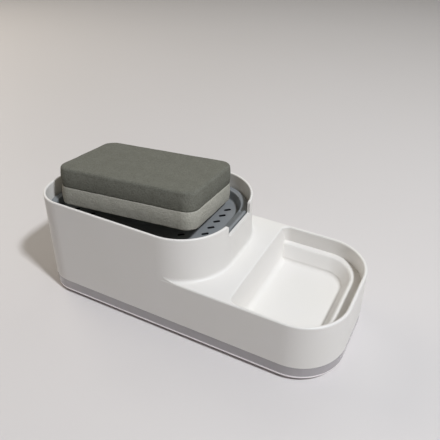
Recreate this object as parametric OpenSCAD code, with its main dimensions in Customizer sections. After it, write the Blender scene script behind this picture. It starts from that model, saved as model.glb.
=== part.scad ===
// Press-plate soap dispenser: a tall well with a sprung plate and a sponge, and an open dish beside it.
// X runs along the body towards the dish, Y runs to the back, Z is up.
// The origin is on the counter, under the middle of the body.

/* [Body] */
// Overall length of the body
body_l = 239.6; // [232:0.1:250]
// Overall width of the body
body_w = 105; // [102:1:112]
// Length of the tower that holds the press plate
tower_l = 149.6; // [145:0.1:153]
// Height of the tower rim above the counter
tower_h = 84.7; // [83:0.1:92]
// Height of the dish rim above the counter
dish_h = 49.5; // [47:0.5:52]
// Height of the shell's lower edge above the counter
band_h = 13; // [12:0.5:14]
// Corner radius of the closed end of the body
end_r = 25; // [22:1:28]
// Corner radius of the tower where it meets the deck
tower_r = 39; // [36:1:42]
// Corner radius of the dish end of the body
dish_r = 35; // [32:1:37]
// Wall thickness of the shell
shell_t = 2; // [1.8:0.1:2.2]
// Thickness of the rim round the dish
rim_t = 2.5; // [2.4:0.1:2.8]
// Thickness of the deck, the well floor and the dish pan
floor_t = 2.2; // [1.8:0.1:2.6]
// Radius of the fillet between the tower and the deck
tower_foot_r = 2.5; // [1.5:0.1:3]
// Draft of the outer walls, which lean in towards the top, in degrees
draft = 0.9; // [0.5:0.1:1.2]

/* [Dish] */
// Length of the flat deck between the tower and the dish
deck_l = 15.2; // [15:0.1:19]
// Inward lean of the wall beside the deck over its whole height
near_lean = 4.5; // [3:0.5:6]
// Radius between the dish floor and the wall beside the deck
near_fillet = 5; // [3:0.5:6]
// Depth of the ledge below the dish rim
ledge_depth = 13; // [11:0.5:15]
// Depth of the dish floor below the dish rim
dish_depth = 25.5; // [24:0.5:26.5]
// Width of the ledge along the long sides
ledge_side_w = 5; // [4:0.5:6]
// Width of the ledge at the round end
ledge_end_w = 9; // [7:0.5:11]
// Inward lean of the lower dish wall over its whole height
basin_lean = 5; // [4:0.5:6]
// Corner radius of the lower dish at its round end
basin_end_r = 22; // [20:1:25]
// Radius between the dish floor and its walls
basin_fillet = 3; // [2:0.5:3.5]
// Radius of the ledge's inner edge
ledge_edge_r = 1.6; // [1:0.1:2]

/* [Notch] */
// Width of the finger notch in the tower rim
notch_w = 34; // [30:1:38]
// Depth of the finger notch below the tower rim
notch_depth = 9.7; // [7:0.1:10]
// Radius of the notch's upper corners
notch_r = 2.5; // [2:0.5:4]

/* [Reservoir] */
// Gap between the counter and the reservoir floor
tray_lift = 1.2; // [1:0.1:1.6]
// Wall and floor thickness of the reservoir
tray_t = 2.4; // [2.2:0.1:2.6]
// Radius of the reservoir's lower outer edge
tray_edge_r = 3.5; // [3:0.5:4]
// Height of the lip that stands up inside the shell
lip_h = 6.5; // [6:0.5:8]
// Diameter of each rubber foot
foot_d = 12; // [10:1:14]
// Distance of the feet from the ends of the body
foot_inset_x = 30; // [26:1:36]
// Distance of the feet from the sides of the body
foot_inset_y = 20; // [16:1:24]

/* [Press plate] */
// Depth of the plate's ring below the tower rim
plate_drop = 11.7; // [10.5:0.1:12]
// Depth of the plate's tray below its ring
plate_depth = 8; // [7:0.5:9]
// Thickness of the plate
plate_t = 2; // [1.8:0.1:2.4]
// Gap between the plate and the tower wall
plate_gap = 0.8; // [0.6:0.1:1]
// Width of the ring along the long sides
ring_side_w = 4.8; // [4.2:0.1:6]
// Width of the ring at the notch end
ring_end_w = 7.4; // [6.5:0.1:9]
// Corner radius of the plate's tray at the notch end
pan_end_r = 27; // [24:1:28]
// How far the plate can be pressed
press_travel = 10; // [8:0.5:10.5]
// Length of one drain slot
slot_l = 5.6; // [5:0.1:6.5]
// Width of one drain slot
slot_w = 2.6; // [2.2:0.1:3]
// Spacing of the slots across the plate
slot_pitch = 9; // [8.5:0.1:9.5]
// Number of slots in one row
slot_count = 7; // [5:1:7]

/* [Pump] */
// Inner diameter of the pump cylinder
bore_d = 14; // [13.6:0.1:14.4]
// Outer diameter of the pump stem
stem_d = 7; // [6.8:0.1:7.4]
// Outer diameter of the dip tube
tube_d = 6; // [5.6:0.1:6.4]
// Outer diameter of the collar nut
collar_d = 36; // [35:0.5:38]
// Wire diameter of the return spring
wire_d = 0.9; // [0.8:0.05:1]
// Number of turns of the return spring
spring_turns = 7; // [6:1:8]
// Diameter of the check ball
ball_d = 4.6; // [4.4:0.1:4.8]

/* [Sponge] */
// Gap between the sponge and each end of the plate's tray, when it lies in the middle
sponge_end_gap = 8.3; // [8:0.1:10]
// Gap between the sponge and each side of the plate's tray, when it lies in the middle
sponge_side_gap = 8.3; // [8:0.1:11]
// Thickness of the pale lower layer
sponge_base_t = 14; // [12:0.5:16]
// Thickness of the dark upper layer
sponge_top_t = 14.8; // [12:0.2:16]
// Corner radius of the sponge
sponge_r = 9.9; // [9:0.1:12]
// Direction in which the sponge leans, in degrees from the back towards the closed end
sponge_lean_dir = 16.2; // [10:0.2:20]
// Turn of the sponge seen from above, in degrees
sponge_turn = 4; // [2:0.5:4]

/* [Hidden] */
$fn = 96;

// One overrun for every cut, so that no cut ends flush with a face
over = 0.5;
// Overlap of a core with the edge that is swept round it
lap = 0.5;
// Small overrun for cuts that follow a slope
skin = 0.05;
// Grid for the places of drafted walls, so that the corners and the sides of a sweep meet exactly
grid = 0.01;

// Ends of the body and of the tower along X
end_x = body_l / 2;
tower_x1 = -end_x + tower_l;
half_w = body_w / 2;
// Depth that swept edges reach inwards before a plain core fills the rest
shell_core = 12;
// Radii of the beads along the dish rim and the tower rim
bead_r = rim_t / 2;
tower_bead_r = shell_t / 2;
// How far the drafted walls have come in at those beads, and the inside of the tower, which stands upright
body_lean = on_grid(lean(dish_h - bead_r));
tower_lean = on_grid(lean(tower_h - tower_bead_r));
well_in = shell_t + tower_lean;

// Press plate heights, from the tower rim down
ring_top = tower_h - plate_drop;
plate_floor = ring_top - plate_depth;
plate_under = plate_floor - plate_t;
plate_in = well_in + plate_gap;
plate_lean = 1;
pan_x0 = -end_x + plate_in + ring_side_w;
pan_x1 = tower_x1 - plate_in - ring_end_w;
pan_hw = half_w - plate_in - ring_side_w;
pan_rl = end_r - plate_in - ring_side_w;
pan_wall = 1.8;
pan_fillet = 1.5;
plate_edge_r = 0.8;
plate_skirt_t = 1.6;
plate_skirt_h = 5;
tab_h = 3.3;
tab_side_gap = 0.5;
tab_crown = 1.5;
tab_round = 0.5;
pan_slope = atan(plate_lean / plate_depth);
slot_angle = 45;
slot_inset = 13;
slot_row_gap = 14.8;

// Pump axis, in the middle of the tower
pump_x = (-end_x + tower_x1) / 2;
fit_gap = 0.1;
run_gap = 0.3;
seat_gap = 0.03;
piston_gap = 0.5;
nut_gap = 0.4;

// Dome in the middle of the plate, and the socket under it
dome_h = 6.4;
dome_top_r = 6.5;
dome_foot_r = 21;
dome_shares = [[1, 0], [0.8, 0.27], [0.62, 0.63], [0.45, 0.88]];
socket_r = 10.3;
socket_wall = 1.7;
socket_up = 3.4;
outlet_r = 3;
valve_r = 5;
valve_t = 1;
valve_rise = 0.6;

// Guide posts under the plate and the sleeves that they run in
post_d = 6;
post_x = 30;
post_y = 30;
sleeve_wall = 1.3;
sleeve_gap = 0.5;
post_gap = 0.4;
post_bite = 2;

// Pump stack, from the pressed plate down
press_clear = 1.3;
collar_top = plate_under - press_travel - press_clear;
collar_t = 1.5;
collar_hole_d = 12;
collar_rib_count = 24;
collar_rib = 0.6;
guide_t = 1.2;
guide_in = 3;
guide_d = 22;
flange_t = 1.5;
flange_d = 24;
gasket_t = 1;
boss_h = 6.5;
boss_d = 30;
guide_top = collar_top - collar_t;
flange_top = guide_top - guide_t;
gasket_z = flange_top - flange_t - gasket_t;
well_z = gasket_z - boss_h;
barrel_wall = 1.3;
barrel_d = bore_d + 2 * barrel_wall;
barrel_gap = 0.4;
piston_h = 6;
piston_top = flange_top - guide_in - piston_gap;
piston_z = piston_top - piston_h;
seat_t = 1.5;
seat_d = 11.6;
plug_h = 1;
piston_waist = 0.9;
spring_rest = wire_d * (spring_turns + 1) + press_travel - wire_d / 2;
shelf_z = piston_z - seat_t - spring_rest;
chamber_h = 5.5;
chamber_d = 6;
pocket_d = 10;
valve_seat_t = 1.5;
valve_hole_d = 3.2;
spigot_h = 5.5;
cage_bar_w = 1.2;
cage_bar_t = 0.9;
cage_bar_l = 8;
spring_d = 10.6;
valve_seat_z = shelf_z - chamber_h;
spigot_top = valve_seat_z - valve_seat_t;
spigot_z = spigot_top - spigot_h;
tray_floor = tray_lift + tray_t;
tube_clear = 1;
tube_wall = 1;
stem_bore_d = 3.6;
port_d = 2;
head_drop = 0.5;
head_d = 2 * (socket_r - run_gap);
head_top = plate_floor + socket_up;
head_disc_t = 3;
stem_seat = 2;
stem_top = head_top - head_disc_t + stem_seat;
head_hub_d = 11;
ball_z = valve_seat_z + sqrt(pow(ball_d / 2, 2) - pow(valve_hole_d / 2, 2)) + seat_gap;

// Dish pocket and basin
pocket_x0 = tower_x1 + deck_l;
rim_in = body_lean + rim_t;
pocket_x1 = end_x - rim_in;
pocket_hw = half_w - rim_in;
pocket_near_r = 6;
ledge_z = dish_h - ledge_depth;
basin_z = dish_h - dish_depth;
basin_x1 = pocket_x1 - ledge_end_w;
basin_hw = pocket_hw - ledge_side_w;
// The lower dish is drawn past the wall beside the deck, which then closes it
basin_past = basin_lean + basin_fillet + 2 * lap;
basin_x0 = pocket_x0 - basin_past;
// The far corners are as round as the dish is long enough for
basin_far_r = min(basin_end_r, basin_x1 - pocket_x0 - lap);
basin_slope = atan(basin_lean / (ledge_z - basin_z));
near_slope = atan(near_lean / dish_depth);
// The rim's inner edge, and the deck's edge that runs into it
rim_edge_r = bead_r - skin;
deck_edge_r = rim_edge_r * cos(near_slope) / (1 - sin(near_slope));
// Distance from the outer wall at which the tower's fillet runs out
foot_trim = 0.3;
// Where the two pieces of the shell meet, as a share of the deck's length
seam_share = 0.35;
seam_x = tower_x1 + deck_l * seam_share;

// Ledge round the tower wall, and ribs under the well floor
ledge_t = 1.6;
ledge_w = 1.8;
rib_gap = 0.8;
rib_t = 1.6;
rib_h = 6;
rib_hub_wall = 3;
rib_hub_h = 4;

// Reservoir lip, seal and feet
lip_gap = 0.6;
lip_t = 1.6;
lip_root = 4;
seal_share = 0.4;
seal_z = band_h + lip_h * seal_share;
seal_h = 1.6;
seal_in = 0.8;
seal_out = 0.3;
foot_sink = 0.4;
foot_chamfer = 0.5;
foot_x = end_x - foot_inset_x;
foot_y = half_w - foot_inset_y;

// Sponge place: it leans on the rim of the dome and its low corner touches the plate
sponge_dx = -5.3;
sponge_dy = 0.7;
sponge_gap = 0.2;
sponge_dome_gap = 0.33;
sponge_l = pan_x1 - pan_x0 - 2 * sponge_end_gap;
sponge_w = 2 * (pan_hw - sponge_side_gap);
// Reach of the low corner, and place of the dome, along the lean
sponge_reach = (sponge_l / 2 - sponge_r) * sin(sponge_lean_dir)
             + (sponge_w / 2 - sponge_r) * cos(sponge_lean_dir) + sponge_r;
dome_reach = sponge_dx * sin(sponge_lean_dir + sponge_turn)
           - sponge_dy * cos(sponge_lean_dir + sponge_turn) + dome_top_r;
sponge_rise = (dome_h + sponge_dome_gap - sponge_gap) / (sponge_reach - dome_reach);
sponge_lean_end = asin(sponge_rise * sin(sponge_lean_dir));
sponge_lean_back = asin(sponge_rise * cos(sponge_lean_dir) / cos(sponge_lean_end));
sponge_z = plate_floor + sponge_gap + sponge_reach * sponge_rise;

// How far the draft has brought the outer walls in at a height
function lean(z) = (z - band_h) * tan(draft);

function on_grid(v) = round(v / grid) * grid;

// Points of an arc about c, from angle a0 to a1
function arc(c, r, a0, a1, n) = [for (i = [0:n]) c + r * [cos(a0 + (a1 - a0) * i / n), sin(a0 + (a1 - a0) * i / n)]];

// Outline seen from above, with one corner radius at each end
module plan(x0, x1, hw, rl, rr) {
    union() {
        translate([x0 + rl, -hw]) square([x1 - rr - x0 - rl, 2 * hw]);
        translate([x0, -hw + rl]) square([rl + lap, 2 * (hw - rl)]);
        translate([x1 - rr - lap, -hw + rr]) square([rr + lap, 2 * (hw - rr)]);
        for (s = [-1, 1]) {
            translate([x0 + rl, s * (hw - rl)]) circle(r = rl);
            translate([x1 - rr, s * (hw - rr)]) circle(r = rr);
        }
    }
}

// A profile drawn outwards and upwards from an outline, swept all round it or round its far end only
module sweep_round(x0, x1, hw, rl, rr, whole = true) {
    corners = [[x1 - rr, hw - rr, rr, 0], [x0 + rl, hw - rl, rl, 90],
               [x0 + rl, rl - hw, rl, 180], [x1 - rr, rr - hw, rr, 270]];
    sides = [[x1, hw - rr, 2 * (hw - rr), 0], [x0 + rl, hw, x1 - rr - x0 - rl, 90],
             [x0, rl - hw, 2 * (hw - rl), 180], [x1 - rr, -hw, x1 - rr - x0 - rl, 270]];
    for (c = whole ? corners : [corners[0], corners[3]])
        translate([c[0], c[1], 0]) rotate(c[3]) rotate_extrude(angle = 90) translate([c[2], 0]) children();
    for (s = whole ? sides : [sides[0], sides[1], sides[3]])
        translate([s[0], s[1], 0]) rotate([90, 0, s[3]]) linear_extrude(s[2]) children();
}

// Profile of a cut that rounds an edge at the origin, where the wall below leans in by an angle
module edge_cut(r, slope) {
    cx = r * (1 - sin(slope)) / cos(slope);
    cy = -r * (1 - sin(slope));
    difference() {
        polygon([[cx, 0], [cx, over], [-r, over], [-r, cy], [cx - r * cos(slope), cy]]);
        translate([cx, -r]) circle(r = r);
    }
}

module body_plan(in) {
    plan(-end_x + in, end_x - in, half_w - in, end_r - in, dish_r - in);
}

module tower_plan(in) {
    plan(-end_x + in, tower_x1 - in, half_w - in, end_r - in, tower_r - in);
}

module body_sweep() {
    sweep_round(-end_x, end_x, half_w, end_r, dish_r) children();
}

module tower_sweep() {
    sweep_round(-end_x, tower_x1, half_w, end_r, tower_r) children();
}

// A solid tub whose walls lean in towards the bottom, with a fillet round its foot
module tub(x0, x1, hw, rl, rr, z0, z1, lean, fillet) {
    core = min(rl, rr) - lap;
    foot = fillet > 0 ? arc([-lean - fillet, z0 + fillet], fillet, -90, 0, 8) : [[-lean, z0]];
    sweep_round(x0, x1, hw, rl, rr)
        polygon(concat([[-core, z0]], foot, [[0, z1], [-core, z1]]));
    translate([0, 0, z0]) linear_extrude(z1 - z0)
        plan(x0 + core - lap / 2, x1 - core + lap / 2, hw - core + lap / 2,
             rl - core + lap / 2, rr - core + lap / 2);
}

// The clear reservoir under the whole body, with a lip that stands inside the shell
module reservoir_tray() {
    color("lightsteelblue", 0.5) difference() {
        union() {
            body_sweep() tray_profile();
            translate([0, 0, tray_lift]) linear_extrude(tray_t) body_plan(shell_core - lap);
        }
        for (x = [-foot_x, foot_x], y = [-foot_y, foot_y])
            translate([x, y, tray_lift - over])
                cylinder(d = foot_d + 2 * fit_gap, h = foot_sink + over);
    }
}

module tray_profile() {
    lip_out = shell_t + lip_gap;
    inner_r = tray_edge_r - tray_t + lip_t / 2;
    polygon(concat(
        [[-shell_core, tray_lift]],
        arc([-tray_edge_r, tray_lift + tray_edge_r], tray_edge_r, -90, 0, 8),
        [[0, band_h], [-lip_out, band_h], [-lip_out, seal_z], [-lip_out - seal_in, seal_z],
         [-lip_out - seal_in, seal_z + seal_h], [-lip_out, seal_z + seal_h],
         [-lip_out, band_h + lip_h], [-lip_out - lip_t, band_h + lip_h],
         [-lip_out - lip_t, band_h - lip_root + lip_t], [-tray_t, band_h - lip_root]],
        arc([-tray_t - inner_r, tray_floor + inner_r], inner_r, 0, -90, 5),
        [[-shell_core, tray_floor]]));
}

// Soft seal with two ridges, in the groove of the reservoir lip
module tray_seal() {
    root = -shell_t - lip_gap;
    color("gainsboro") body_sweep()
        polygon([[root - seal_in, seal_z], [root, seal_z], [root + seal_out, seal_z + seal_h / 4],
                 [root, seal_z + seal_h / 2], [root + seal_out, seal_z + seal_h * 3 / 4],
                 [root, seal_z + seal_h], [root - seal_in, seal_z + seal_h]]);
}

module foot(sx, sy) {
    color("dimgray") translate([sx * foot_x, sy * foot_y, 0]) rotate_extrude()
        polygon([[0, 0], [foot_d / 2 - foot_chamfer, 0], [foot_d / 2, foot_chamfer],
                 [foot_d / 2, tray_lift + foot_sink], [0, tray_lift + foot_sink]]);
}

// The white shell is held as two pieces that meet across the deck
module tower_shell() {
    color("white") intersection() {
        upper_shell();
        tower_side();
    }
}

module dish_shell() {
    color("white") difference() {
        upper_shell();
        tower_side();
    }
}

module tower_side() {
    translate([-end_x - over, -half_w - over, 0]) cube([seam_x + end_x + over, body_w + 2 * over, tower_h + over]);
}

// Skirt, deck and dish, with the tower wall and the ledge that the well floor rests on
module upper_shell() {
    difference() {
        union() {
            shell_deck();
            shell_tower();
            tower_foot();
            dish_pan();
        }
        dish_hollow();
        finger_notch();
    }
}

module shell_deck() {
    low = dish_h - floor_t;
    difference() {
        union() {
            body_sweep() union() {
                polygon([[-shell_t, band_h], [0, band_h], [-body_lean, dish_h - bead_r],
                         [-body_lean - bead_r, dish_h - bead_r], [-body_lean - bead_r, dish_h],
                         [-shell_core, dish_h], [-shell_core, low], [-shell_t - lean(low), low]]);
                translate([-body_lean - bead_r, dish_h - bead_r]) circle(r = bead_r);
            }
            translate([0, 0, low]) linear_extrude(floor_t) body_plan(shell_core - lap);
        }
        translate([0, 0, low - over]) linear_extrude(floor_t + 2 * over) tower_plan(well_in);
    }
}

module shell_tower() {
    low = well_z - floor_t - ledge_t;
    foot = dish_h - bead_r;
    top = tower_h - tower_bead_r;
    tower_sweep() union() {
        polygon([[-well_in, low - ledge_w], [-tower_lean, low - ledge_w], [-tower_lean, foot],
                 [-body_lean, foot], [-tower_lean, top], [-tower_lean - tower_bead_r, top],
                 [-well_in, top]]);
        translate([-tower_lean - tower_bead_r, top]) circle(r = tower_bead_r);
        polygon([[-well_in + lap, low - ledge_w], [-well_in + lap, low + ledge_t],
                 [-well_in - ledge_w, low + ledge_t], [-well_in - ledge_w, low], [-well_in, low - ledge_w]]);
    }
}

// Floor of the well, laid on the ledge of the tower wall: it carries the pump and the sleeves
module well_floor() {
    color("white") difference() {
        union() {
            translate([0, 0, well_z - floor_t]) linear_extrude(floor_t) tower_plan(well_in + fit_gap);
            pump_boss();
            guide_sleeves();
            well_ribs();
        }
        translate([pump_x, 0, well_z - floor_t - rib_h - over])
            cylinder(d = barrel_d + 2 * barrel_gap, h = floor_t + rib_h + boss_h + 2 * over);
    }
}

// Fillet between the tower and the deck
module tower_foot() {
    intersection() {
        tower_sweep() translate([-body_lean, dish_h]) difference() {
            translate([-lap, -lap]) square(tower_foot_r + lap);
            translate([tower_foot_r, tower_foot_r]) circle(r = tower_foot_r);
        }
        translate([0, 0, dish_h - lap]) linear_extrude(tower_foot_r + lap) body_plan(body_lean + foot_trim);
    }
}

// Outline of the dish above its ledge: the body's outline, set in, and closed by a wall at the deck
module pocket_plan(side, near) {
    intersection() {
        plan(pocket_x0 - near, end_x + pocket_near_r, half_w - side, pocket_near_r + near, pocket_near_r);
        body_plan(side);
    }
}

// All that lies on the dish's side of the wall beside the deck, or of that wall's outside
module near_side(out) {
    centre = [pocket_x0 + near_lean + near_fillet / tan(45 + near_slope / 2), basin_z + near_fillet];
    far = end_x + over;
    translate([0, half_w, 0]) rotate([90, 0, 0]) linear_extrude(body_w)
        polygon(concat(
            [[pocket_x0 - over * tan(near_slope) - out / cos(near_slope), dish_h + over]],
            arc(centre, near_fillet + out, 180 + near_slope, 270, 8),
            [[centre[0], basin_z - out - over], [far, basin_z - out - over], [far, dish_h + over]]));
}

// Walls of the dish under the deck, before it is hollowed
module dish_pan() {
    intersection() {
        union() {
            translate([0, 0, ledge_z - floor_t]) linear_extrude(ledge_depth)
                pocket_plan(rim_in - shell_t / 2, floor_t);
            tub(basin_x0 - floor_t, basin_x1 + floor_t, basin_hw + floor_t, basin_past + floor_t,
                basin_far_r + floor_t, basin_z - floor_t, ledge_z, basin_lean, basin_fillet);
        }
        near_side(floor_t);
    }
}

module dish_hollow() {
    intersection() {
        union() {
            translate([0, 0, ledge_z]) linear_extrude(ledge_depth + over) pocket_plan(rim_in, 0);
            tub(basin_x0, basin_x1, basin_hw, basin_past, basin_far_r,
                basin_z, ledge_z + skin, basin_lean, basin_fillet);
            sweep_round(basin_x0, basin_x1, basin_hw, basin_past, basin_far_r, whole = false)
                translate([0, ledge_z]) edge_cut(ledge_edge_r, basin_slope);
        }
        near_side(0);
    }
    dish_rim_edge();
}

// Rounds the inner edge of the rim all round the dish, and the deck's edge beside it
module dish_rim_edge() {
    side = pocket_hw - pocket_near_r;
    sweep_round(pocket_x0, pocket_x1, pocket_hw, pocket_near_r, dish_r - rim_in, whole = false)
        translate([0, dish_h]) edge_cut(rim_edge_r, 0);
    for (s = [0, 1]) translate([pocket_x0 + pocket_near_r, s == 0 ? side : -side, dish_h])
        rotate(90 + 90 * s) rotate_extrude(angle = 90) translate([pocket_near_r, 0]) edge_cut(rim_edge_r, 0);
    translate([pocket_x0, -side, dish_h]) rotate([90, 0, 180]) linear_extrude(2 * side)
        edge_cut(deck_edge_r, near_slope);
}

module finger_notch() {
    low = tower_h - notch_depth;
    foot_r = notch_r / 3;
    translate([tower_x1 - well_in - over, 0, 0]) rotate([90, 0, 90])
        linear_extrude(well_in + 2 * over) {
            translate([-notch_w / 2, low + foot_r]) square([notch_w, notch_depth]);
            translate([-notch_w / 2 + foot_r, low]) square([notch_w - 2 * foot_r, notch_depth]);
            for (s = [-1, 1]) {
                translate([s * (notch_w / 2 - foot_r), low + foot_r]) circle(r = foot_r);
                difference() {
                    translate([s * (notch_w + notch_r) / 2 - notch_r / 2, tower_h - notch_r])
                        square([notch_r, notch_r + over]);
                    translate([s * (notch_w / 2 + notch_r), tower_h - notch_r]) circle(r = notch_r);
                }
            }
        }
}

module pump_boss() {
    translate([pump_x, 0, well_z - lap]) cylinder(d = boss_d, h = boss_h + lap);
    translate([pump_x, 0, well_z - floor_t - rib_hub_h])
        cylinder(d = barrel_d + 2 * barrel_gap + 2 * rib_hub_wall, h = rib_hub_h + lap);
}

module at_posts() {
    for (x = [-post_x, post_x], y = [-post_y, post_y]) translate([pump_x + x, y, 0]) children();
}

module guide_sleeves() {
    sleeve_d = post_d + 2 * post_gap + 2 * sleeve_wall;
    sleeve_top = plate_under - press_travel - sleeve_gap;
    at_posts() difference() {
        translate([0, 0, well_z - lap]) cylinder(d = sleeve_d, h = sleeve_top - well_z + lap);
        translate([0, 0, well_z]) cylinder(d = post_d + 2 * post_gap, h = sleeve_top - well_z + over);
    }
}

module well_ribs() {
    in = well_in + ledge_w + rib_gap;
    low = well_z - floor_t - rib_h;
    translate([-end_x + in, -rib_t / 2, low]) cube([tower_l - 2 * in, rib_t, rib_h + lap]);
    for (s = [-1, 1])
        translate([pump_x + s * post_x - rib_t / 2, -half_w + in, low])
            cube([rib_t, body_w - 2 * in, rib_h + lap]);
}

module ring(d_out, d_in, h) {
    difference() {
        cylinder(d = d_out, h = h);
        translate([0, 0, -over]) cylinder(d = d_in, h = h + 2 * over);
    }
}

module pump_gasket() {
    color("gainsboro") translate([pump_x, 0, gasket_z])
        ring(flange_d, barrel_d + 2 * barrel_gap, gasket_t);
}

// Cylinder with its flange, the ball chamber at its foot and the spigot for the dip tube
module pump_cylinder() {
    color("whitesmoke") translate([pump_x, 0, 0]) {
        difference() {
            union() {
                translate([0, 0, flange_top - flange_t]) cylinder(d = flange_d, h = flange_t);
                translate([0, 0, shelf_z - barrel_wall])
                    cylinder(d = barrel_d, h = flange_top - shelf_z);
                translate([0, 0, spigot_z]) cylinder(d = pocket_d, h = shelf_z - spigot_z);
            }
            translate([0, 0, shelf_z]) cylinder(d = bore_d, h = flange_top - shelf_z + over);
            translate([0, 0, valve_seat_z]) cylinder(d = chamber_d, h = chamber_h + over);
            translate([0, 0, spigot_z - over]) cylinder(d = valve_hole_d, h = spigot_h + valve_seat_t + 2 * over);
            translate([0, 0, spigot_z - over]) cylinder(d = tube_d + 2 * fit_gap, h = spigot_h + over);
        }
        translate([-cage_bar_l / 2, -cage_bar_w / 2, shelf_z - cage_bar_t / 2])
            cube([cage_bar_l, cage_bar_w, cage_bar_t]);
    }
}

module pump_guide_ring() {
    color("whitesmoke") translate([pump_x, 0, 0]) difference() {
        union() {
            translate([0, 0, flange_top]) cylinder(d = guide_d, h = guide_t);
            translate([0, 0, flange_top - guide_in])
                cylinder(d = bore_d - 2 * fit_gap, h = guide_in + lap);
        }
        translate([0, 0, flange_top - guide_in - over])
            cylinder(d = stem_d + 2 * run_gap, h = guide_in + guide_t + 2 * over);
    }
}

// Collar nut that holds the pump down on the boss, with finger ribs
module pump_collar_nut() {
    nut_z = well_z + nut_gap;
    color("whitesmoke") translate([pump_x, 0, 0]) difference() {
        union() {
            translate([0, 0, nut_z]) cylinder(d = collar_d, h = collar_top - nut_z);
            for (i = [0:collar_rib_count - 1]) rotate(i * 360 / collar_rib_count)
                translate([collar_d / 2 - collar_rib, -collar_rib, nut_z])
                    cube([2 * collar_rib, 2 * collar_rib, collar_top - nut_z - collar_t]);
        }
        translate([0, 0, nut_z - over]) cylinder(d = boss_d + 2 * fit_gap, h = guide_top - nut_z + over);
        translate([0, 0, guide_top - over]) cylinder(d = collar_hole_d, h = collar_t + 2 * over);
    }
}

module dip_tube() {
    color("white", 0.7) translate([pump_x, 0, tray_floor + tube_clear])
        ring(tube_d, tube_d - 2 * tube_wall, spigot_top - tray_floor - tube_clear);
}

// Compression spring: one round wire along a helix, drawn as a swept tube
module pump_spring() {
    sides = 8;
    steps = 16;
    r = spring_d / 2;
    low = shelf_z + wire_d / 2;
    climb = spring_rest - wire_d;
    rings = steps * spring_turns;
    points = [for (i = [0:rings], k = [0:sides - 1])
        let (a = 360 * i / steps, b = 360 * k / sides, q = r + wire_d / 2 * cos(b))
        [q * cos(a), q * sin(a), low + climb * i / rings + wire_d / 2 * sin(b)]];
    walls = [for (i = [0:rings - 1], k = [0:sides - 1])
        let (p = i * sides + k, q = i * sides + (k + 1) % sides)
        [p, q, q + sides, p + sides]];
    first = [[for (k = [0:sides - 1]) sides - 1 - k]];
    last = [[for (k = [0:sides - 1]) rings * sides + k]];
    color("silver") translate([pump_x, 0, 0])
        polyhedron(points = points, faces = concat(walls, first, last), convexity = 10);
}

module check_ball() {
    color("silver") translate([pump_x, 0, ball_z]) sphere(d = ball_d);
}

module pump_stem() {
    color("whitesmoke") translate([pump_x, 0, 0]) difference() {
        translate([0, 0, piston_z]) cylinder(d = stem_d, h = stem_top - piston_z);
        translate([0, 0, piston_z - over]) cylinder(d = stem_bore_d, h = head_top - piston_z);
        translate([-stem_d, 0, piston_z + port_d]) rotate([0, 90, 0]) cylinder(d = port_d, h = 2 * stem_d);
    }
}

// Soft piston with a lip at each end
module pump_piston() {
    lip_r = bore_d / 2 - run_gap;
    waist_r = lip_r - piston_waist;
    lip = piston_h / 6;
    color("ivory") translate([pump_x, 0, piston_z]) rotate_extrude()
        polygon([[stem_d / 2 + fit_gap, 0], [waist_r, 0], [lip_r, 0], [lip_r, lip],
                 [waist_r, 2 * lip], [waist_r, piston_h - 2 * lip], [lip_r, piston_h - lip],
                 [lip_r, piston_h], [stem_d / 2 + fit_gap, piston_h]]);
}

module piston_seat() {
    color("whitesmoke") translate([pump_x, 0, piston_z - seat_t]) {
        cylinder(d = seat_d, h = seat_t);
        cylinder(d = stem_bore_d - 2 * fit_gap, h = seat_t + plug_h);
    }
}

// Head that joins the stem to the plate and leads the soap to the outlet
module pump_head() {
    low = plate_under - head_drop;
    color("whitesmoke") translate([pump_x, 0, 0]) difference() {
        union() {
            translate([0, 0, head_top - head_disc_t]) cylinder(d = head_d, h = head_disc_t);
            translate([0, 0, low]) cylinder(d = head_hub_d, h = head_top - low - head_disc_t + lap);
        }
        translate([0, 0, low - over])
            cylinder(d = stem_d + 2 * fit_gap, h = stem_top - low + over);
        translate([0, 0, low]) cylinder(d = stem_bore_d, h = head_top - low + over);
    }
}

// The plate that is pressed with the sponge: ring, sunken tray, drain slots, tab and outlet dome
module press_plate() {
    color("gray") difference() {
        union() {
            tower_sweep() plate_ring_profile();
            translate([0, 0, ring_top - plate_t]) linear_extrude(plate_t)
                tower_plan(shell_core - lap);
            tub(pan_x0 - pan_wall, pan_x1 + pan_wall, pan_hw + pan_wall, pan_rl + pan_wall,
                pan_end_r + pan_wall, plate_under, ring_top - plate_t / 2, plate_lean, pan_fillet + plate_t);
            plate_tab();
            at_posts() translate([0, 0, plate_under - press_travel - sleeve_gap - post_bite])
                cylinder(d = post_d, h = press_travel + sleeve_gap + post_bite + plate_t / 2);
        }
        difference() {
            tub(pan_x0, pan_x1, pan_hw, pan_rl, pan_end_r, plate_floor, ring_top + over,
                plate_lean, pan_fillet);
            outlet_dome();
        }
        sweep_round(pan_x0, pan_x1, pan_hw, pan_rl, pan_end_r)
            translate([0, ring_top]) edge_cut(plate_edge_r, pan_slope);
        plate_slots();
        plate_socket();
    }
}

// Ring of the plate with its rounded outer edge, and the skirt that hangs from it
module plate_ring_profile() {
    low = ring_top - plate_t;
    translate([-plate_in, 0]) union() {
        polygon([[-plate_skirt_t, low - plate_skirt_h], [0, low - plate_skirt_h],
                 [0, ring_top - plate_edge_r], [-plate_edge_r, ring_top - plate_edge_r],
                 [-plate_edge_r, ring_top], [plate_in - shell_core, ring_top],
                 [plate_in - shell_core, low], [-plate_skirt_t, low]]);
        translate([-plate_edge_r, ring_top - plate_edge_r]) circle(r = plate_edge_r);
    }
}

module outlet_dome() {
    translate([pump_x, 0, plate_floor - plate_t / 2]) rotate_extrude()
        polygon(concat([[0, 0], [dome_foot_r, 0]],
            [for (s = dome_shares) [dome_foot_r * s[0], plate_t / 2 + dome_h * s[1]]],
            [[dome_top_r, plate_t / 2 + dome_h], [0, plate_t / 2 + dome_h]]));
}

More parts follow.
